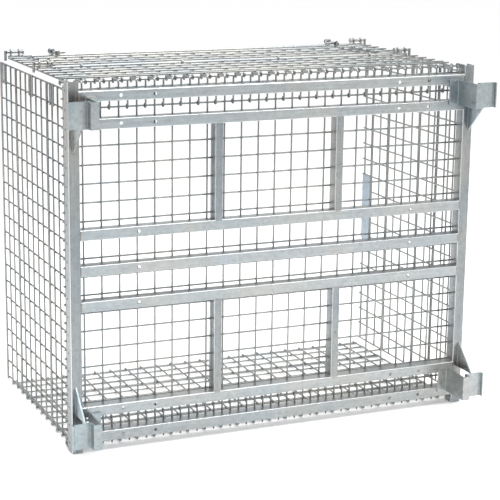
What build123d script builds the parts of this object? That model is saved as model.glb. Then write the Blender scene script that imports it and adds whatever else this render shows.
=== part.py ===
from build123d import *
import os

# Collapsible wire mesh container, lying on its rear long wall.
# X runs along the long side of the base, Y from the feet to the open rim, Z along the short side.
# Depths are measured along +Y from the outer face of the base rails.

# Overall sizes
LENGTH = 1200.0
WIDTH = 1000.0
WALL_DEPTH = 645.0
FOOT_DEPTH = 100.0

# Wires, bars and the loops that hold the hooks and bolts
WIRE_R = 2.5
RIM_R = 3.25
PIN_R = 3.0
HOOK_R = 4.0
LOOP_R = HOOK_R + 0.1 + WIRE_R
PITCH = 50.0
RIM_DEPTH = WALL_DEPTH - RIM_R

# The object is centred in Y between the feet and the loops on the rim
Y_FOOT = -(FOOT_DEPTH + RIM_DEPTH + LOOP_R + WIRE_R) / 2
Y_RAIL = Y_FOOT + FOOT_DEPTH

# Pressed steel base frame
SHEET = 3.0
BEND_R = 2.5
CHANNEL_FACE = 30.0
FRAME_DEPTH = 37.0
RAIL_FACE = 28.0
RAIL_Z = {"rail_rear_outer": 39.0, "rail_rear_inner": 112.0, "rail_middle_rear": 403.0,
          "rail_middle": 500.0, "rail_middle_front": 597.0, "rail_front_inner": 888.0,
          "rail_front_outer": 961.0}
OUTER_RAILS = ("rail_rear_outer", "rail_rear_inner", "rail_front_inner", "rail_front_outer")
STRUT_FACE = 22.0
STRUT_X = 180.0
HOLE_R = 5.0
CORNER_HOLE_X = (362.0, 456.0)
MIDDLE_HOLE_X = (409.0,)
STRUT_HOLE_R = 4.0
DRAIN_R = 3.0
DRAIN_DEPTH = 26.0

# Feet and gussets
FOOT_SHEET = 4.0
FOOT_BEND_R = 1.8
FOOT_WIDTH = 70.0
FOOT_Z = {"rear": 75.0, "front": 925.0}
FOOT_INNER_X = 522.0
FOOT_WEB_X = 550.0
FOOT_STRIP_X = 570.0
FOOT_LEDGE_X = 622.0
FOOT_STEP = 24.0
FOOT_LIP = 10.0
GUSSET_SIZE = 76.0
GUSSET_X = 588.0

# Hinge rings of bent wire
HINGE_GAP = 0.05
PIN_RING_R = PIN_R + HINGE_GAP + WIRE_R
SILL_RING_R = RIM_R + HINGE_GAP + WIRE_R

# Wire layers of the base mesh
BASE_Z_WIRE = FRAME_DEPTH + WIRE_R
BASE_X_WIRE = BASE_Z_WIRE + 2 * WIRE_R
BASE_EDGE_X = 594.0
BASE_WIRE_END_X = 598.0
BASE_WIRE_END_Z = 4.0

# Fold axes of the four walls, stacked so that the folded walls lie on one another
SIDE_X = 594.0
SIDE_PIN_DEPTH = 56.0
REAR_Z = 9.0
REAR_PIN_DEPTH = 70.0
FRONT_Z = WIDTH - 11.0
FRONT_PIN_DEPTH = 84.0
SIDE_PIN_END_Z = 15.0
LONG_PIN_END_X = 598.0

# Wall panels
SIDE_END_Z = 20.0
LONG_END_X = 588.0
FRONT_BAR_END_X = 578.0
CROSS = 2 * WIRE_R
RIM_CROSS = WIRE_R + RIM_R
BAND_GAP = 7.0

# Front wall opening and drop gate
SILL_DEPTH = 352.0
STRIP_INNER_X = 518.0
GATE_END_X = 512.0
GATE_EDGE_X = 508.0
GATE_BOTTOM = SILL_DEPTH + SILL_RING_R + WIRE_R + RIM_R
GATE_TOP = 626.0
GATE_BAR = 576.0
GATE_WIRES = (416.0, 466.0, 516.0)
GATE_RING_X = (-450.0, -150.0, 150.0, 450.0)
LOWER_WIRES = (122.0, 152.0, 202.0, 252.0, 302.0)
STRIP_WIRES = (402.0, 452.0, 502.0, 552.0, 602.0)

# Hooks and bolts on the outer face of the front wall
LOOP_Z = FRONT_Z + RIM_CROSS + RIM_R + LOOP_R + WIRE_R
HOOK_LOOP_X = (546.0, 570.0)
HOOK_START_X = 532.0
HOOK_END_X = 586.0
HOOK_DROP = 24.0
HOOK_DEPTHS = {"mid": SILL_DEPTH, "rim": RIM_DEPTH}
COLLAR_R = 7.0
COLLAR_LENGTH = 5.0
BOLT_X = 450.0
BOLT_START = 560.0
BOLT_TIP = 632.0
BOLT_GRIP = 592.0
BOLT_GRIP_LENGTH = 28.0

# Small parts on the side walls
KEEPER_DEPTHS = (130.0, 160.0, 325.0, 355.0, 605.0, 627.0)
KEEPER_Z = (920.0, 980.0)
PLATE_SIZE = (1.5, 50.0, 210.0)
PLATE_DEPTH = 612.0
PLATE_Z = 470.0

LONG_WALL_X = [PITCH * (i + 0.5) for i in range(-12, 12)]
BASE_MESH_X = [PITCH * i for i in range(-11, 12)]
ROWS_Z = [PITCH * (i + 0.5) for i in range(20)]
PEG_Z = [PITCH * i for i in range(1, 20)]


def rod_x(x0, x1, depth, z, radius):
    return Pos((x0 + x1) / 2, Y_RAIL + depth, z) * Rot(0, 90, 0) * Cylinder(radius, x1 - x0)


def rod_y(depth0, depth1, x, z, radius):
    return Pos(x, Y_RAIL + (depth0 + depth1) / 2, z) * Rot(90, 0, 0) * Cylinder(radius, depth1 - depth0)


def rod_z(z0, z1, x, depth, radius):
    return Pos(x, Y_RAIL + depth, (z0 + z1) / 2) * Cylinder(radius, z1 - z0)


def ring(x, depth, z, tilt, ring_r):
    return Pos(x, Y_RAIL + depth, z) * tilt * Torus(ring_r, WIRE_R)


AROUND_X = Rot(0, 90, 0)
AROUND_Y = Rot(90, 0, 0)
AROUND_Z = Rot(0, 0, 0)


def channel(face, length):
    """U channel along Z with its web outside at Y 0 and both flanges pointing to +Y."""
    outside = (Align.CENTER, Align.MIN, Align.CENTER)
    body = Box(face, FRAME_DEPTH, length, align=outside)
    body -= Pos(0, SHEET, 0) * Box(face - 2 * SHEET, FRAME_DEPTH, length, align=outside)
    return fillet(body.edges().filter_by(Axis.Z).group_by(Axis.Y)[0], BEND_R)


def web_hole(x, z, radius):
    return rod_y(-SHEET, 2 * SHEET, x, z, radius)


def side_channel(side):
    x = side * (LENGTH - CHANNEL_FACE) / 2
    body = Pos(x, Y_RAIL, WIDTH / 2) * channel(CHANNEL_FACE, WIDTH)
    flange_x = side * LENGTH / 2
    for z in ROWS_Z:
        body -= rod_x(flange_x - 2 * SHEET, flange_x + 2 * SHEET, DRAIN_DEPTH, z, DRAIN_R)
    return [body]


def rail(z, hole_x):
    body = Pos(0, Y_RAIL, z) * Rot(0, 90, 0) * channel(RAIL_FACE, LENGTH - 2 * CHANNEL_FACE)
    for x in hole_x:
        body -= web_hole(x, z, HOLE_R)
        body -= web_hole(-x, z, HOLE_R)
    return [body]


def strut(x, z0, z1):
    body = Pos(x, Y_RAIL, (z0 + z1) / 2) * channel(STRUT_FACE, z1 - z0)
    return [body - web_hole(x, (z0 + z1) / 2, STRUT_HOLE_R)]


def bent_plate(points, thickness, width):
    """Plate bent along the points of its middle line in the XY plane, of the given width along Z."""
    plate = None
    for (x0, y0), (x1, y1) in zip(points, points[1:]):
        size_x = abs(x1 - x0) + thickness
        size_y = abs(y1 - y0) + thickness
        leg = Pos((x0 + x1) / 2, (y0 + y1) / 2, 0) * Box(size_x, size_y, width)
        plate = leg if plate is None else plate + leg
    return plate


def foot(side, z):
    """Stacking foot: flange, web, floor strip, step, outer ledge and locating lip."""
    half = FOOT_SHEET / 2
    top = Y_RAIL - half
    floor = Y_FOOT + half
    ledge = floor + FOOT_STEP
    points = [(FOOT_INNER_X, top), (FOOT_WEB_X, top), (FOOT_WEB_X, floor), (FOOT_STRIP_X, floor),
              (FOOT_STRIP_X, ledge), (FOOT_LEDGE_X, ledge), (FOOT_LEDGE_X, ledge - FOOT_LIP)]
    plate = bent_plate([(side * x, y) for x, y in points], FOOT_SHEET, FOOT_WIDTH)
    plate = fillet(plate.edges().filter_by(Axis.Z), FOOT_BEND_R)
    return [Pos(0, 0, z) * plate]


def gusset(side, z, toward):
    """Triangular plate between the side channel and the end of the foot, toward the middle."""
    edge = z + toward * FOOT_WIDTH / 2
    corners = [(Y_RAIL, edge), (Y_RAIL - GUSSET_SIZE, edge), (Y_RAIL, edge + toward * GUSSET_SIZE)]
    face = make_face(Plane.YZ * Polyline(*corners, close=True))
    plate = extrude(face, FOOT_SHEET / 2, both=True)
    return [Pos(side * GUSSET_X, 0, 0) * plate]


def base_mesh():
    wires = [rod_z(BASE_WIRE_END_Z, WIDTH - BASE_WIRE_END_Z, x, BASE_Z_WIRE, WIRE_R)
             for x in [-BASE_EDGE_X, *BASE_MESH_X, BASE_EDGE_X]]
    wires += [rod_x(-BASE_WIRE_END_X, BASE_WIRE_END_X, BASE_X_WIRE, z, WIRE_R) for z in ROWS_Z]
    return wires


def long_pegs(z, pin_depth):
    top = pin_depth - PIN_R
    return [rod_y(BASE_Z_WIRE + WIRE_R, top, x, z, WIRE_R)
            for x in [-BASE_EDGE_X, *BASE_MESH_X, BASE_EDGE_X]]


def side_pegs(side):
    top = SIDE_PIN_DEPTH - PIN_R
    return [rod_y(BASE_Z_WIRE + WIRE_R, top, side * SIDE_X, z, WIRE_R) for z in PEG_Z]


def band_depths(pin_depth):
    """Depths of the cross wires of a full wall, with the fourth and tenth lines doubled."""
    rows = [RIM_DEPTH - PITCH * i for i in range(1, 12)]
    rows = [row for row in rows if row > pin_depth + 2 * PIN_RING_R]
    doubled = (RIM_DEPTH - 3 * PITCH, RIM_DEPTH - 9 * PITCH)
    return rows + [row - BAND_GAP for row in doubled]


def side_wall(side):
    start = SIDE_PIN_DEPTH + PIN_RING_R + WIRE_R
    cross_x = side * (SIDE_X + CROSS)
    wires = [rod_y(start, WALL_DEPTH, side * SIDE_X, z, WIRE_R) for z in ROWS_Z]
    wires += [rod_z(SIDE_END_Z, WIDTH - SIDE_END_Z, cross_x, depth, WIRE_R)
              for depth in band_depths(SIDE_PIN_DEPTH)]
    return wires


def side_rim(side):
    return [rod_z(SIDE_END_Z, WIDTH - SIDE_END_Z, side * (SIDE_X + RIM_CROSS), RIM_DEPTH, RIM_R)]


def side_keepers(side):
    return [rod_z(*KEEPER_Z, side * (SIDE_X + CROSS), depth, WIRE_R) for depth in KEEPER_DEPTHS]


def side_rings(side):
    return [ring(side * SIDE_X, SIDE_PIN_DEPTH, z, AROUND_Z, PIN_RING_R) for z in ROWS_Z]


def label_plate():
    x = SIDE_X - WIRE_R - PLATE_SIZE[0] / 2
    return [Pos(x, Y_RAIL + PLATE_DEPTH, PLATE_Z) * Box(*PLATE_SIZE)]


def rear_wall():
    start = REAR_PIN_DEPTH + PIN_RING_R + WIRE_R
    wires = [rod_y(start, WALL_DEPTH, x, REAR_Z, WIRE_R) for x in LONG_WALL_X]
    wires += [rod_x(-LONG_END_X, LONG_END_X, depth, REAR_Z - CROSS, WIRE_R)
              for depth in band_depths(REAR_PIN_DEPTH)]
    return wires


def front_lower_mesh():
    start = FRONT_PIN_DEPTH + PIN_RING_R + WIRE_R
    wires = [rod_y(start, SILL_DEPTH + RIM_R, x, FRONT_Z, WIRE_R)
             for x in LONG_WALL_X if abs(x) < GATE_END_X]
    wires += [rod_x(-LONG_END_X, LONG_END_X, depth, FRONT_Z + CROSS, WIRE_R) for depth in LOWER_WIRES]
    return wires


def front_strip(side):
    start = FRONT_PIN_DEPTH + PIN_RING_R + WIRE_R
    wires = [rod_y(start, WALL_DEPTH, x, FRONT_Z, WIRE_R)
             for x in LONG_WALL_X if side * x > GATE_END_X]
    x0, x1 = sorted((side * STRIP_INNER_X, side * LONG_END_X))
    wires += [rod_x(x0, x1, depth, FRONT_Z + CROSS, WIRE_R) for depth in STRIP_WIRES]
    return wires


def front_bar(depth):
    return [rod_x(-FRONT_BAR_END_X, FRONT_BAR_END_X, depth, FRONT_Z + RIM_CROSS, RIM_R)]


def long_rings(z, pin_depth):
    return [ring(x, pin_depth, z, AROUND_X, PIN_RING_R) for x in LONG_WALL_X]


def hook_loops():
    return [ring(side * x, depth, LOOP_Z, AROUND_X, LOOP_R)
            for side in (-1, 1) for x in HOOK_LOOP_X for depth in HOOK_DEPTHS.values()]


def bolt_keepers():
    return [ring(side * BOLT_X, RIM_DEPTH, LOOP_Z, AROUND_Y, LOOP_R) for side in (-1, 1)]


def gate_mesh():
    z = FRONT_Z
    columns = [-GATE_EDGE_X, *[x for x in LONG_WALL_X if abs(x) < STRIP_INNER_X - PITCH / 2], GATE_EDGE_X]
    wires = [rod_y(GATE_BOTTOM - RIM_R, GATE_TOP + RIM_R, x, z, WIRE_R) for x in columns]
    wires += [rod_x(-GATE_END_X, GATE_END_X, depth, z + CROSS, WIRE_R) for depth in GATE_WIRES]
    return wires


def gate_bars():
    return [rod_x(-GATE_END_X, GATE_END_X, depth, FRONT_Z + RIM_CROSS, RIM_R)
            for depth in (GATE_BOTTOM, GATE_BAR, GATE_TOP)]


def gate_rings():
    return [ring(x, SILL_DEPTH, FRONT_Z + RIM_CROSS, AROUND_X, SILL_RING_R) for x in GATE_RING_X]


def gate_loops():
    return [ring(side * BOLT_X, depth, LOOP_Z, AROUND_Y, LOOP_R)
            for side in (-1, 1) for depth in (GATE_BAR, GATE_TOP)]


def hook(side, depth):
    """Corner hook: collar, shank along X turning in two loops, and an end dropping inside the side wall."""
    inner = side * HOOK_START_X
    neck = side * (HOOK_START_X + COLLAR_LENGTH)
    elbow = side * (HOOK_END_X - HOOK_R)
    collar = rod_x(*sorted((inner, neck)), depth, LOOP_Z, COLLAR_R)
    shank = rod_x(*sorted((neck, elbow)), depth, LOOP_Z, HOOK_R)
    drop = rod_z(LOOP_Z - HOOK_DROP, LOOP_Z + HOOK_R, side * HOOK_END_X, depth, HOOK_R)
    return [collar, shank, drop]


def bolt(side):
    """Gate bolt: a shank along Y sliding in two loops, with a finger grip between them."""
    shank = rod_y(BOLT_START, BOLT_TIP, side * BOLT_X, LOOP_Z, HOOK_R)
    root = side * (BOLT_X - HOOK_R)
    tip = side * (BOLT_X - BOLT_GRIP_LENGTH)
    return [shank, rod_x(*sorted((root, tip)), BOLT_GRIP, LOOP_Z, HOOK_R)]


nodes = {"base_mesh": base_mesh()}
for name, z in RAIL_Z.items():
    nodes[name] = rail(z, CORNER_HOLE_X if name in OUTER_RAILS else MIDDLE_HOLE_X)
nodes["pin_rear"] = [rod_x(-LONG_PIN_END_X, LONG_PIN_END_X, REAR_PIN_DEPTH, REAR_Z, PIN_R)]
nodes["pin_front"] = [rod_x(-LONG_PIN_END_X, LONG_PIN_END_X, FRONT_PIN_DEPTH, FRONT_Z, PIN_R)]
nodes["pegs_rear"] = long_pegs(REAR_Z, REAR_PIN_DEPTH)
nodes["pegs_front"] = long_pegs(FRONT_Z, FRONT_PIN_DEPTH)
nodes["rear_mesh"] = rear_wall()
nodes["rear_rim"] = [rod_x(-LONG_END_X, LONG_END_X, RIM_DEPTH, REAR_Z - RIM_CROSS, RIM_R)]
nodes["rear_rings"] = long_rings(REAR_Z, REAR_PIN_DEPTH)
nodes["front_lower_mesh"] = front_lower_mesh()
nodes["front_rim"] = front_bar(RIM_DEPTH)
nodes["gate_sill"] = front_bar(SILL_DEPTH)
nodes["front_rings"] = long_rings(FRONT_Z, FRONT_PIN_DEPTH)
nodes["hook_loops"] = hook_loops()
nodes["bolt_keepers"] = bolt_keepers()
nodes["gate_mesh"] = gate_mesh()
nodes["gate_bars"] = gate_bars()
nodes["gate_rings"] = gate_rings()
nodes["gate_loops"] = gate_loops()
nodes["label_plate"] = label_plate()

half_rail = RAIL_FACE / 2
for end, side in (("left", -1), ("right", 1)):
    nodes[f"side_channel_{end}"] = side_channel(side)
    nodes[f"strut_rear_{end}"] = strut(side * STRUT_X, RAIL_Z["rail_rear_inner"] + half_rail,
                                       RAIL_Z["rail_middle_rear"] - half_rail)
    nodes[f"strut_front_{end}"] = strut(side * STRUT_X, RAIL_Z["rail_middle_front"] + half_rail,
                                        RAIL_Z["rail_front_inner"] - half_rail)
    for row, z, toward in (("rear", FOOT_Z["rear"], 1), ("front", FOOT_Z["front"], -1)):
        nodes[f"foot_{row}_{end}"] = foot(side, z)
        nodes[f"gusset_{row}_{end}"] = gusset(side, z, toward)
    nodes[f"pin_{end}"] = [rod_z(SIDE_PIN_END_Z, WIDTH - SIDE_PIN_END_Z, side * SIDE_X,
                                 SIDE_PIN_DEPTH, PIN_R)]
    nodes[f"pegs_{end}"] = side_pegs(side)
    nodes[f"{end}_mesh"] = side_wall(side)
    nodes[f"{end}_rim"] = side_rim(side)
    nodes[f"{end}_rings"] = side_rings(side)
    nodes[f"{end}_keepers"] = side_keepers(side)
    nodes[f"front_strip_{end}"] = front_strip(side)
    for row, depth in HOOK_DEPTHS.items():
        nodes[f"hook_{row}_{end}"] = hook(side, depth)
    nodes[f"bolt_{end}"] = bolt(side)

os.makedirs("parts", exist_ok=True)
for name, solids in nodes.items():
    export_step(Compound(children=solids), f"parts/{name}.step")
print(len(nodes), "nodes,", sum(len(solids) for solids in nodes.values()), "solids")
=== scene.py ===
import math
import random

import bpy
from mathutils import Matrix, Vector


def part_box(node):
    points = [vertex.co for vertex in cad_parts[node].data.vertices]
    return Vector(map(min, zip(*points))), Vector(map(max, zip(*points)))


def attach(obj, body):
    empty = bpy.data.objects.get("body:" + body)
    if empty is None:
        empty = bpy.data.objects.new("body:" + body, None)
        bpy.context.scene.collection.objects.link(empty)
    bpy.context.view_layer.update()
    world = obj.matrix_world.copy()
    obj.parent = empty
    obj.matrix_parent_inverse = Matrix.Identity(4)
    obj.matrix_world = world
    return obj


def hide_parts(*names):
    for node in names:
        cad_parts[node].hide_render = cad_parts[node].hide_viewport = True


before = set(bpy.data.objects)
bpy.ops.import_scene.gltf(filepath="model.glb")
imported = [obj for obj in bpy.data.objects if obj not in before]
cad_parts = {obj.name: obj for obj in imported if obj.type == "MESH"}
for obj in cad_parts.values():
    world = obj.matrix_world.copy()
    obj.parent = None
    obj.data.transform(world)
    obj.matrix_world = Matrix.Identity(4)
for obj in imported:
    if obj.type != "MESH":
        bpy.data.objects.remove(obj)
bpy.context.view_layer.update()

random.seed(7)

# Sizes in metres, in the row frame: X along the base, Y from the feet to the rim, Z up
MM = 0.001
WIRE_R = 2.5 * MM
PIN_R = 3.0 * MM
RIM_R = 3.25 * MM
PITCH = 50 * MM
HINGE_GAP = 0.05 * MM
CURL_R = PIN_R + WIRE_R + HINGE_GAP
EYE_LEAD = 16 * MM
EYE_NECK_ALONG = 1.2
EYE_NECK_INWARD = 0.92
UPTURN_R = CURL_R * 1.5
WOBBLE = 0.35 * MM
WIRE_SIDES = 10
NUGGET_R = WIRE_R * 1.15
NUGGET_HALF = WIRE_R * 0.55
CURL_STEPS = 14
CURL_TURN = math.radians(315)
HOOK_TURN = math.radians(250)


# ---------------------------------------------------------------- where things are

def middle(node):
    low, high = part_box(node)
    return tuple((low[i] + high[i]) / 2 for i in range(3))


def ends(node, axis):
    low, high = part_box(node)
    return low[axis], high[axis]


Y_RAIL = ends("rail_middle", 1)[0]
BASE_Z_Y = ends("base_mesh", 1)[0] + WIRE_R
BASE_X_Y = ends("base_mesh", 1)[1] - WIRE_R
BASE_Z0, BASE_Z1 = ends("base_mesh", 2)
BASE_X0, BASE_X1 = ends("base_mesh", 0)
EDGE_X = middle("pin_right")[0]
RIM_Y = middle("left_rim")[1]
TOP_Y = ends("left_rim", 1)[1]
ROWS_Z = [PITCH * (i + 0.5) for i in range(20)]
PEG_Z = [PITCH * i for i in range(1, 20)]
BASE_X = [-EDGE_X, *[PITCH * i for i in range(-11, 12)], EDGE_X]
WALL_X = [PITCH * (i + 0.5) for i in range(-12, 12)]
BAND_GAP = 7 * MM
TIE_REACH = ROWS_Z[1] - BASE_Z0

# Depths of the front wall's and the gate's cross wires from the rails' face
LOWER_DEPTHS = [depth * MM for depth in (122, 152, 202, 252, 302)]
STRIP_DEPTHS = [depth * MM for depth in (402, 452, 502, 552, 602)]
GATE_DEPTHS = [depth * MM for depth in (416, 466, 516)]

# The ends of the feet's flange and web along X
FOOT_FLANGE_X = 522 * MM
FOOT_WEB_X = 552 * MM

# The middle of the base in Z, and how far from the middle the corner welds' heat stain lies
MIDDLE_Z = 500 * MM
STAIN_X = 565 * MM
STAIN_Z = 425 * MM

# How far behind the sections' outer face the painted highlight along the bends begins and ends
BEND_HIGHLIGHT_START = (0.2 * MM, 0.7 * MM)
BEND_HIGHLIGHT_END = (2.6 * MM, 4.5 * MM)


# ---------------------------------------------------------------- mesh building

def new_piece(name, verts, faces, body, material, replaced=()):
    """A smooth-shaded mesh piece that rides on a body and may stand for CAD nodes."""
    mesh = bpy.data.meshes.new(name)
    mesh.from_pydata(verts, [], faces)
    mesh.validate()
    mesh.polygons.foreach_set("use_smooth", [True] * len(mesh.polygons))
    mesh.materials.append(material)
    piece = bpy.data.objects.new(name, mesh)
    bpy.context.scene.collection.objects.link(piece)
    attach(piece, body)
    if replaced:
        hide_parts(*replaced)
    return piece


class Shell:
    """Collects the closed shells of one piece."""

    def __init__(self):
        self.verts = []
        self.faces = []

    def tube(self, path, radius, sides=WIRE_SIDES, ripple=None):
        """A round bar along path with a chamfered end; ripple scales the radius at each point."""
        path = [Vector(point) for point in path]
        tangents = []
        for i in range(len(path)):
            before = path[max(i - 1, 0)]
            after = path[min(i + 1, len(path) - 1)]
            tangents.append((after - before).normalized())
        side = tangents[0].orthogonal().normalized()
        rings = []
        chamfer = radius * 0.25
        for i, (point, tangent) in enumerate(zip(path, tangents)):
            side = (side - tangent * side.dot(tangent)).normalized()
            up = tangent.cross(side)
            size = radius * (ripple[i] if ripple else 1.0)
            if i == 0:
                rings.append((point, side, up, size * 0.75))
                rings.append((point + tangent * chamfer, side, up, size))
            elif i == len(path) - 1:
                rings.append((point - tangent * chamfer, side, up, size))
                rings.append((point, side, up, size * 0.75))
            else:
                rings.append((point, side, up, size))
        start = len(self.verts)
        for point, across, up, size in rings:
            for k in range(sides):
                angle = 2 * math.pi * k / sides
                self.verts.append(point + (across * math.cos(angle) + up * math.sin(angle)) * size)
        for r in range(len(rings) - 1):
            for k in range(sides):
                a = start + r * sides + k
                b = start + r * sides + (k + 1) % sides
                self.faces.append((a, b, b + sides, a + sides))
        last = start + (len(rings) - 1) * sides
        self.faces.append(tuple(start + k for k in reversed(range(sides))))
        self.faces.append(tuple(last + k for k in range(sides)))

    def nugget(self, centre, radii, rows=4, sides=8):
        """A small closed ellipsoid, the squeezed metal of one weld."""
        start = len(self.verts)
        cx, cy, cz = centre
        rx, ry, rz = radii
        self.verts.append(Vector((cx, cy, cz + rz)))
        for r in range(1, rows):
            polar = math.pi * r / rows
            for k in range(sides):
                angle = 2 * math.pi * k / sides
                self.verts.append(Vector((cx + rx * math.sin(polar) * math.cos(angle),
                                          cy + ry * math.sin(polar) * math.sin(angle),
                                          cz + rz * math.cos(polar))))
        self.verts.append(Vector((cx, cy, cz - rz)))
        end = len(self.verts) - 1
        for k in range(sides):
            after = (k + 1) % sides
            self.faces.append((start, start + 1 + k, start + 1 + after))
            for r in range(rows - 2):
                a = start + 1 + r * sides
                self.faces.append((a + k, a + sides + k, a + sides + after, a + after))
            a = start + 1 + (rows - 2) * sides
            self.faces.append((a + k, end, a + after))


def wavy(start, end, across):
    """Points of a drawn wire between two ends, a little out of true sideways along across."""
    start, end, across = Vector(start), Vector(end), Vector(across)
    steps = max(2, round((end - start).length / (2 * PITCH)))
    points = [start]
    for i in range(1, steps):
        points.append(start.lerp(end, i / steps) + across * random.uniform(-WOBBLE, WOBBLE))
    points.append(end)
    return points


def curl(centre, radius, start, turn, plane):
    """Arc points about centre; plane gives the two unit directions of angle 0 and 90 degrees."""
    first, second = (Vector(direction) for direction in plane)
    points = []
    for i in range(CURL_STEPS + 1):
        angle = start + turn * i / CURL_STEPS
        points.append(Vector(centre) + (first * math.cos(angle) + second * math.sin(angle)) * radius)
    return points


def eye_wire(foot, tip, inward):
    """A wall wire: straight from its tip, then rolled round the hinge pin at foot."""
    foot, tip, inward = Vector(foot), Vector(tip), Vector(inward)
    along = (tip - foot).normalized()
    lead = foot + along * (CURL_R + EYE_LEAD)
    straight = wavy(tip, lead, inward.cross(along))
    roll = curl(foot, CURL_R, 0, -CURL_TURN, (inward, along))
    return straight + [foot + along * CURL_R * EYE_NECK_ALONG + inward * CURL_R * EYE_NECK_INWARD] + roll


# ---------------------------------------------------------------- materials

def zinc(name, cool, warm, rough, spangle=0.5, drawn=(1, 1, 1), stain=0.0, metallic=0.92, bend=0.0):
    """Zinc plating: drifting tint, crystals, drawn lines, pale blotches, weld stain and a painted highlight
    along the bends.
    """
    material = bpy.data.materials.new(name)
    material.use_nodes = True
    nodes = material.node_tree.nodes
    links = material.node_tree.links
    shader = nodes["Principled BSDF"]
    shader.inputs["Metallic"].default_value = metallic
    coords = nodes.new("ShaderNodeTexCoord").outputs["Object"]

    def noise(scale, detail, stretch=(1, 1, 1), roughness=0.5):
        mapping = nodes.new("ShaderNodeMapping")
        mapping.inputs["Scale"].default_value = stretch
        links.new(coords, mapping.inputs["Vector"])
        texture = nodes.new("ShaderNodeTexNoise")
        texture.inputs["Scale"].default_value = scale
        texture.inputs["Detail"].default_value = detail
        texture.inputs["Roughness"].default_value = roughness
        links.new(mapping.outputs["Vector"], texture.inputs["Vector"])
        return texture.outputs["Fac"]

    def ramp(value, low, high, dark, light):
        node = nodes.new("ShaderNodeMapRange")
        for socket, number in zip(("From Min", "From Max", "To Min", "To Max"), (low, high, dark, light)):
            node.inputs[socket].default_value = number
        links.new(value, node.inputs["Value"])
        return node.outputs["Result"]

    def mix(kind, factor, first, second):
        node = nodes.new("ShaderNodeMix")
        node.data_type = "RGBA"
        node.blend_type = kind
        for socket, value in zip((node.inputs[0], node.inputs[6], node.inputs[7]), (factor, first, second)):
            if isinstance(value, bpy.types.NodeSocket):
                links.new(value, socket)
            else:
                socket.default_value = value
        return node.outputs[2]

    def math_node(kind, first, second):
        node = nodes.new("ShaderNodeMath")
        node.operation = kind
        for socket, value in zip(node.inputs, (first, second)):
            if isinstance(value, bpy.types.NodeSocket):
                links.new(value, socket)
            else:
                socket.default_value = value
        return node.outputs[0]

    tint = mix("MIX", ramp(noise(5, 4), 0.38, 0.62, 0, 1), (*cool, 1), (*warm, 1))
    crystals = nodes.new("ShaderNodeTexVoronoi")
    crystals.inputs["Scale"].default_value = 95
    links.new(coords, crystals.inputs["Vector"])
    grain = nodes.new("ShaderNodeSeparateColor")
    links.new(crystals.outputs["Color"], grain.inputs["Color"])
    level = ramp(grain.outputs["Red"], 0, 1, 1 - 0.22 * spangle, 1 + 0.10 * spangle)
    tint = mix("MULTIPLY", 1.0, tint, level)
    lines = noise(42, 3, drawn, 0.7)
    tint = mix("MULTIPLY", 1.0, tint, ramp(lines, 0.3, 0.7, 0.86, 1.08))
    blotch = ramp(noise(17, 5, (1, 1, 1), 0.65), 0.56, 0.74, 0, 0.10)
    tint = mix("MIX", blotch, tint, (0.66, 0.68, 0.68, 1))

    split = nodes.new("ShaderNodeSeparateXYZ")
    links.new(coords, split.inputs["Vector"])
    if stain:
        # The heat of the corner welds, mirrored in X and about the middle of Z
        away_x = math_node("SUBTRACT", math_node("ABSOLUTE", split.outputs["X"], 0.0), STAIN_X)
        height = math_node("ABSOLUTE", math_node("SUBTRACT", split.outputs["Z"], MIDDLE_Z), 0.0)
        away_z = math_node("SUBTRACT", height, STAIN_Z)
        reach = math_node("SQRT", math_node("ADD", math_node("MULTIPLY", away_x, away_x),
                                            math_node("MULTIPLY", away_z, away_z)), 0.0)
        ragged = math_node("ADD", reach, ramp(noise(38, 5, (1, 1, 1), 0.7), 0.3, 0.7, -0.03, 0.03))
        tint = mix("MIX", ramp(ragged, 0.012, 0.060, stain, 0), tint, (0.40, 0.34, 0.30, 1))

    if bend:
        # A painted highlight along the outer bends of the pressed sections, just behind their outer face
        depth = math_node("SUBTRACT", split.outputs["Y"], Y_RAIL)
        painted_highlight_band = math_node("MULTIPLY", ramp(depth, *BEND_HIGHLIGHT_START, 0, bend), ramp(depth, *BEND_HIGHLIGHT_END, 1, 0))
        tint = mix("MIX", painted_highlight_band, tint, (0.95, 0.96, 0.97, 1))
    links.new(tint, shader.inputs["Base Color"])

    gloss = math_node("ADD", ramp(lines, 0.3, 0.7, rough - 0.06, rough + 0.08),
                      ramp(grain.outputs["Green"], 0, 1, -0.05 * spangle, 0.07 * spangle))
    links.new(gloss, shader.inputs["Roughness"])

    bump = nodes.new("ShaderNodeBump")
    bump.inputs["Strength"].default_value = 0.22
    bump.inputs["Distance"].default_value = 0.0006
    relief = math_node("ADD", math_node("MULTIPLY", lines, 0.6), noise(420, 3, (1, 1, 1), 0.6))
    links.new(relief, bump.inputs["Height"])
    links.new(bump.outputs["Normal"], shader.inputs["Normal"])
    return material


# bend sets the strength of the painted highlight along the outer bends of the rails and posts
ZINC_RAIL = zinc("zinc_rail", (0.36, 0.40, 0.42), (0.41, 0.42, 0.41), 0.30, 0.4, (0.15, 4, 4), 0.30,
                 bend=0.95)
ZINC_POST = zinc("zinc_post", (0.25, 0.28, 0.30), (0.31, 0.32, 0.31), 0.28, 0.4, (4, 4, 0.15), 0.40,
                 bend=0.6)
ZINC_FOOT = zinc("zinc_foot_plate", (0.34, 0.41, 0.44), (0.42, 0.45, 0.45), 0.32, 0.6, (3, 0.5, 3), 0.25)
ZINC_WIRE = zinc("zinc_wire", (0.25, 0.27, 0.28), (0.33, 0.33, 0.31), 0.30, 0.3)
ZINC_BAR = zinc("zinc_bar", (0.31, 0.33, 0.34), (0.40, 0.40, 0.38), 0.28, 0.3)
ZINC_LOOP = zinc("zinc_loop", (0.34, 0.36, 0.37), (0.43, 0.43, 0.41), 0.28, 0.3)
ZINC_PLATE = zinc("zinc_plate_sheet", (0.30, 0.38, 0.45), (0.38, 0.43, 0.47), 0.34, 0.4, (1, 3, 0.4))
WELD_METAL = zinc("weld_metal", (0.30, 0.30, 0.29), (0.42, 0.38, 0.34), 0.45, 0.2, (1, 1, 1), 0.0, 0.85)


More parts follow.
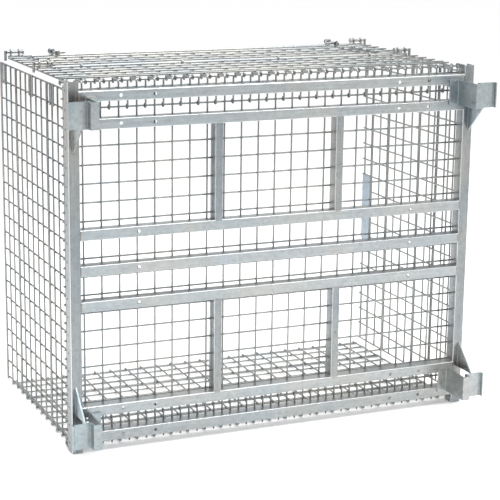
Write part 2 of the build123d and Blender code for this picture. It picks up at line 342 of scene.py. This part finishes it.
def paint_cad_nodes():
    """Gives every carried-over CAD node its zinc."""
    kinds = (("rail_", ZINC_RAIL), ("side_channel", ZINC_POST), ("strut_", ZINC_POST),
             ("foot_", ZINC_FOOT), ("gusset_", ZINC_FOOT), ("label_plate", ZINC_PLATE),
             ("hook_loops", ZINC_LOOP), ("bolt_keepers", ZINC_LOOP), ("gate_rings", ZINC_LOOP),
             ("gate_loops", ZINC_LOOP))
    for name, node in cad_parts.items():
        material = next((zinc_kind for start, zinc_kind in kinds if name.startswith(start)), ZINC_BAR)
        node.data.materials.clear()
        node.data.materials.append(material)


paint_cad_nodes()


def cross_rows(lowest):
    """Heights in Y of a full wall's cross wires; counting the rim, the fourth and tenth are doubled."""
    rows = [RIM_Y - PITCH * i for i in range(1, 12)]
    rows = [row for row in rows if row > lowest + 2 * CURL_R]
    return rows + [RIM_Y - 3 * PITCH - BAND_GAP, RIM_Y - 9 * PITCH - BAND_GAP]


def weld_crossings(shell, points, flat_axis):
    """A nugget at each crossing, thin along flat_axis, between the two wire layers."""
    radii = [NUGGET_R] * 3
    radii[flat_axis] = NUGGET_HALF
    for point in points:
        size = random.uniform(0.88, 1.1)
        shell.nugget(point, [radius * size for radius in radii])


# ---------------------------------------------------------------- base mesh

def base_grid():
    """The base mesh, with its wires' ends hooked round the hinge pins, and the curled tie wires."""
    shell = Shell()
    across_y = (0, 1, 0)
    for x in BASE_X:
        path = []
        for node, outward in (("pin_rear", -1), ("pin_front", 1)):
            _, pin_y, pin_z = middle(node)
            rise_z = pin_z + outward * CURL_R
            bend = curl((x, BASE_Z_Y + UPTURN_R, rise_z - outward * UPTURN_R), UPTURN_R,
                        -math.pi / 2, math.pi / 2, ((0, 0, outward), (0, 1, 0)))
            roll = curl((x, pin_y, pin_z), CURL_R, 0, HOOK_TURN, ((0, 0, outward), (0, 1, 0)))
            part = bend + roll
            path = part[::-1] if outward < 0 else path + part
        shell.tube(path, WIRE_R)
    for z in ROWS_Z:
        shell.tube(wavy((BASE_X0, BASE_X_Y, z), (BASE_X1, BASE_X_Y, z), across_y), WIRE_R)
    for x in WALL_X:
        for near, inward in ((BASE_Z0, 1), (BASE_Z1, -1)):
            held_z = near + inward * TIE_REACH
            start = (x, BASE_Z_Y, near)
            turn_in = (x, BASE_Z_Y, held_z)
            roll = curl((x, BASE_X_Y, held_z), 2 * WIRE_R, -math.pi / 2, CURL_TURN,
                        ((0, 0, inward), (0, 1, 0)))
            shell.tube([start, turn_in] + roll[1:], WIRE_R)
    seam_y = (BASE_Z_Y + BASE_X_Y) / 2
    weld_crossings(shell, [(x, seam_y, z) for x in BASE_X for z in ROWS_Z], 1)
    for node in ("pin_left", "pin_right"):
        pin_x, pin_y, _ = middle(node)
        inward = -math.copysign(1, pin_x)
        for z in PEG_Z:
            foot = [(pin_x + inward * CURL_R, BASE_Z_Y + WIRE_R * 0.6, z)]
            roll = curl((pin_x, pin_y, z), CURL_R, 0, HOOK_TURN, ((inward, 0, 0), (0, 1, 0)))
            shell.tube(foot + roll, WIRE_R)
    new_piece("base_grid", shell.verts, shell.faces, "base", ZINC_WIRE,
              ("base_mesh", "pegs_front", "pegs_rear", "pegs_left", "pegs_right"))


# ---------------------------------------------------------------- walls

def side_grid(end):
    """A short wall: upright wires with eyes on the side pin, and cross wires on the outside."""
    shell = Shell()
    pin_x, pin_y, _ = middle(f"pin_{end}")
    outward = math.copysign(1, pin_x)
    cross_x = pin_x + outward * 2 * WIRE_R
    z0, z1 = ends(f"{end}_rim", 2)
    for z in ROWS_Z:
        shell.tube(eye_wire((pin_x, pin_y, z), (pin_x, TOP_Y, z), (-outward, 0, 0)), WIRE_R)
    rows = cross_rows(pin_y)
    for y in rows:
        shell.tube(wavy((cross_x, y, z0), (cross_x, y, z1), (0, 1, 0)), WIRE_R)
    seam_x = (pin_x + cross_x) / 2
    weld_crossings(shell, [(seam_x, y, z) for y in rows + [RIM_Y] for z in ROWS_Z], 0)
    new_piece(f"{end}_wall_grid", shell.verts, shell.faces, f"{end}_wall", ZINC_WIRE,
              (f"{end}_mesh", f"{end}_rings"))


def rear_grid():
    """The rear long wall, lying underneath."""
    shell = Shell()
    _, pin_y, pin_z = middle("pin_rear")
    cross_z = pin_z - 2 * WIRE_R
    x0, x1 = ends("rear_rim", 0)
    for x in WALL_X:
        shell.tube(eye_wire((x, pin_y, pin_z), (x, TOP_Y, pin_z), (0, 0, 1)), WIRE_R)
    rows = cross_rows(pin_y)
    for y in rows:
        shell.tube(wavy((x0, y, cross_z), (x1, y, cross_z), (0, 1, 0)), WIRE_R)
    seam_z = (pin_z + cross_z) / 2
    weld_crossings(shell, [(x, y, seam_z) for x in WALL_X for y in rows + [RIM_Y]], 2)
    new_piece("rear_wall_grid", shell.verts, shell.faces, "rear_wall", ZINC_WIRE,
              ("rear_mesh", "rear_rings"))


def front_grid():
    """The front long wall: lower panel and a full-height strip at each end beside the gate."""
    shell = Shell()
    _, pin_y, pin_z = middle("pin_front")
    cross_z = pin_z + 2 * WIRE_R
    seam_z = (pin_z + cross_z) / 2
    sill_y = middle("gate_sill")[1]
    sill_top = ends("gate_sill", 1)[1]
    x0, x1 = ends("front_lower_mesh", 0)
    strip_x = ends("front_strip_right", 0)[0]
    for x in WALL_X:
        tall = abs(x) > strip_x
        tip = TOP_Y if tall else sill_top
        shell.tube(eye_wire((x, pin_y, pin_z), (x, tip, pin_z), (0, 0, -1)), WIRE_R)
        if tall:
            weld_crossings(shell, [(x, Y_RAIL + depth, seam_z) for depth in STRIP_DEPTHS], 2)
    lower = [Y_RAIL + depth for depth in LOWER_DEPTHS]
    for y in lower:
        shell.tube(wavy((x0, y, cross_z), (x1, y, cross_z), (0, 1, 0)), WIRE_R)
    for depth in STRIP_DEPTHS:
        for side in (-1, 1):
            start = (side * strip_x, Y_RAIL + depth, cross_z)
            end = (side * x1, Y_RAIL + depth, cross_z)
            shell.tube(wavy(start, end, (0, 1, 0)), WIRE_R)
    weld_crossings(shell, [(x, y, seam_z) for x in WALL_X for y in lower + [sill_y]], 2)
    new_piece("front_wall_grid", shell.verts, shell.faces, "front_wall", ZINC_WIRE,
              ("front_lower_mesh", "front_rings", "front_strip_left", "front_strip_right"))


def gate_grid():
    """The drop gate's mesh, between its three bars."""
    shell = Shell()
    x0, x1 = ends("gate_bars", 0)
    y0, y1 = ends("gate_bars", 1)
    z = middle("pin_front")[2]
    cross_z = z + 2 * WIRE_R
    seam_z = (z + cross_z) / 2
    edge = x1 - 4 * MM
    columns = [-edge, *[x for x in WALL_X if abs(x) < edge - PITCH / 2], edge]
    rows = [Y_RAIL + depth for depth in GATE_DEPTHS]
    for x in columns:
        shell.tube(wavy((x, y0, z), (x, y1, z), (1, 0, 0)), WIRE_R)
    for y in rows:
        shell.tube(wavy((x0, y, cross_z), (x1, y, cross_z), (0, 1, 0)), WIRE_R)
    bars = (y0 + RIM_R, y1 - RIM_R, y1 - RIM_R - PITCH)
    weld_crossings(shell, [(x, y, seam_z) for x in columns for y in (*rows, *bars)], 2)
    new_piece("gate_grid", shell.verts, shell.faces, "gate", ZINC_WIRE, ("gate_mesh",))


# ---------------------------------------------------------------- weld beads of the base frame

BEAD_R = 2.2 * MM
BEAD_STEP = 2.0 * MM


def bead(shell, start, end):
    """A rippled fillet weld between two points."""
    start, end = Vector(start), Vector(end)
    count = max(4, round((end - start).length / BEAD_STEP))
    path = [start.lerp(end, i / count) for i in range(count + 1)]
    ripple = [(0.75 if i % 2 else 1.0) * random.uniform(0.88, 1.08) for i in range(count + 1)]
    ripple[0] = ripple[-1] = 0.5
    shell.tube(path, BEAD_R, 8, ripple)


def frame_welds():
    """Beads where rails meet channels, struts meet rails, and feet and gussets meet the frame."""
    shell = Shell()
    rails = [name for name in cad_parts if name.startswith("rail_")]
    for name in sorted(rails):
        low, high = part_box(name)
        for x in (low[0], high[0]):
            for z in (low[2], high[2]):
                bead(shell, (x, low[1] + 4 * MM, z), (x, high[1] - 4 * MM, z))
            bead(shell, (x, low[1] + 0.4 * MM, low[2] + 3 * MM), (x, low[1] + 0.4 * MM, high[2] - 3 * MM))
    for name in sorted(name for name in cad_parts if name.startswith("strut_")):
        low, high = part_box(name)
        for z in (low[2], high[2]):
            bead(shell, (low[0] + 3 * MM, low[1] + 0.4 * MM, z), (high[0] - 3 * MM, low[1] + 0.4 * MM, z))
            for x in (low[0], high[0]):
                bead(shell, (x, low[1] + 4 * MM, z), (x, high[1] - 6 * MM, z))
    for name in sorted(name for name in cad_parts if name.startswith("foot_")):
        low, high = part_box(name)
        side = math.copysign(1, low[0])
        web_x = side * FOOT_WEB_X
        flange_x = side * FOOT_FLANGE_X
        for z in (low[2], high[2]):
            bead(shell, (flange_x, Y_RAIL - 0.5 * MM, z), (web_x, Y_RAIL - 0.5 * MM, z))
        bead(shell, (web_x, Y_RAIL - 0.5 * MM, low[2]), (web_x, Y_RAIL - 0.5 * MM, high[2]))
    for name in sorted(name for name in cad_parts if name.startswith("gusset_")):
        low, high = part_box(name)
        for x in (low[0], high[0]):
            bead(shell, (x, high[1] - 0.5 * MM, low[2] + 4 * MM), (x, high[1] - 0.5 * MM, high[2] - 4 * MM))
    new_piece("frame_welds", shell.verts, shell.faces, "base", WELD_METAL)


base_grid()
side_grid("left")
side_grid("right")
rear_grid()
front_grid()
gate_grid()
frame_welds()


# ---------------------------------------------------------------- floor, light and camera

CAMERA_AT = (-1.817, -4.183, 1.534)
CAMERA_AZIMUTH = math.radians(23.87)
CAMERA_DIP = math.radians(13.35)
CAMERA_ROLL = math.radians(0.73)
CAMERA_LENS = 115.8
FLOOR_SIZE = 60
FLOOR_GAP = 1 * MM

# The sky's level by X * SKY_LEAN + Y of its direction: from and to, then the two levels
SKY_LEAN = 0.6
SKY_LEVELS = (-1.0, 0.15, 0.42, 1.0)


def floor():
    bpy.ops.mesh.primitive_plane_add(size=FLOOR_SIZE, location=(0, 0, -FLOOR_GAP))
    plane = bpy.context.object
    plane.name = "studio_floor"
    material = bpy.data.materials.new("pale_floor")
    material.use_nodes = True
    shader = material.node_tree.nodes["Principled BSDF"]
    shader.inputs["Base Color"].default_value = (0.93, 0.93, 0.93, 1)
    shader.inputs["Roughness"].default_value = 0.9
    shader.inputs["Emission Color"].default_value = (1, 1, 1, 1)
    shader.inputs["Emission Strength"].default_value = 0.2
    plane.data.materials.append(material)


def area_light(name, place, target, size, power):
    data = bpy.data.lights.new(name, "AREA")
    data.shape = "RECTANGLE"
    data.size, data.size_y = size
    data.energy = power
    light = bpy.data.objects.new(name, data)
    light.location = place
    light.rotation_euler = (Vector(target) - Vector(place)).to_track_quat("-Z", "Y").to_euler()
    bpy.context.scene.collection.objects.link(light)


def sky():
    """A white studio that dims towards the feet and the left wall."""
    world = bpy.data.worlds.new("studio")
    world.use_nodes = True
    nodes = world.node_tree.nodes
    links = world.node_tree.links
    split = nodes.new("ShaderNodeSeparateXYZ")
    links.new(nodes.new("ShaderNodeTexCoord").outputs["Generated"], split.inputs["Vector"])
    lean = nodes.new("ShaderNodeMath")
    lean.operation = "MULTIPLY_ADD"
    links.new(split.outputs["X"], lean.inputs[0])
    lean.inputs[1].default_value = SKY_LEAN
    links.new(split.outputs["Y"], lean.inputs[2])
    level = nodes.new("ShaderNodeMapRange")
    for socket, number in zip(("From Min", "From Max", "To Min", "To Max"), SKY_LEVELS):
        level.inputs[socket].default_value = number
    links.new(lean.outputs[0], level.inputs["Value"])
    links.new(level.outputs["Result"], nodes["Background"].inputs["Strength"])
    nodes["Background"].inputs["Color"].default_value = (1, 1, 1, 1)
    bpy.context.scene.world = world


def camera():
    data = bpy.data.cameras.new("camera")
    data.lens = CAMERA_LENS
    data.clip_end = 100
    view = bpy.data.objects.new("camera", data)
    ahead = Vector((math.sin(CAMERA_AZIMUTH) * math.cos(CAMERA_DIP),
                    math.cos(CAMERA_AZIMUTH) * math.cos(CAMERA_DIP), -math.sin(CAMERA_DIP)))
    level = ahead.cross(Vector((0, 0, 1))).normalized()
    right = Matrix.Rotation(-CAMERA_ROLL, 3, ahead) @ level
    up = right.cross(ahead)
    view.matrix_world = Matrix.Translation(CAMERA_AT) @ Matrix((right, up, -ahead)).transposed().to_4x4()
    bpy.context.scene.collection.objects.link(view)
    bpy.context.scene.camera = view


bpy.context.scene.view_settings.view_transform = "Standard"
floor()
sky()
area_light("overhead", (0, -0.2, 4.2), (0, 0, 0.5), (4.0, 3.0), 200)
area_light("key", (2.5, -4.5, 2.5), (0, 0, 0.5), (2.0, 2.0), 40)
camera()
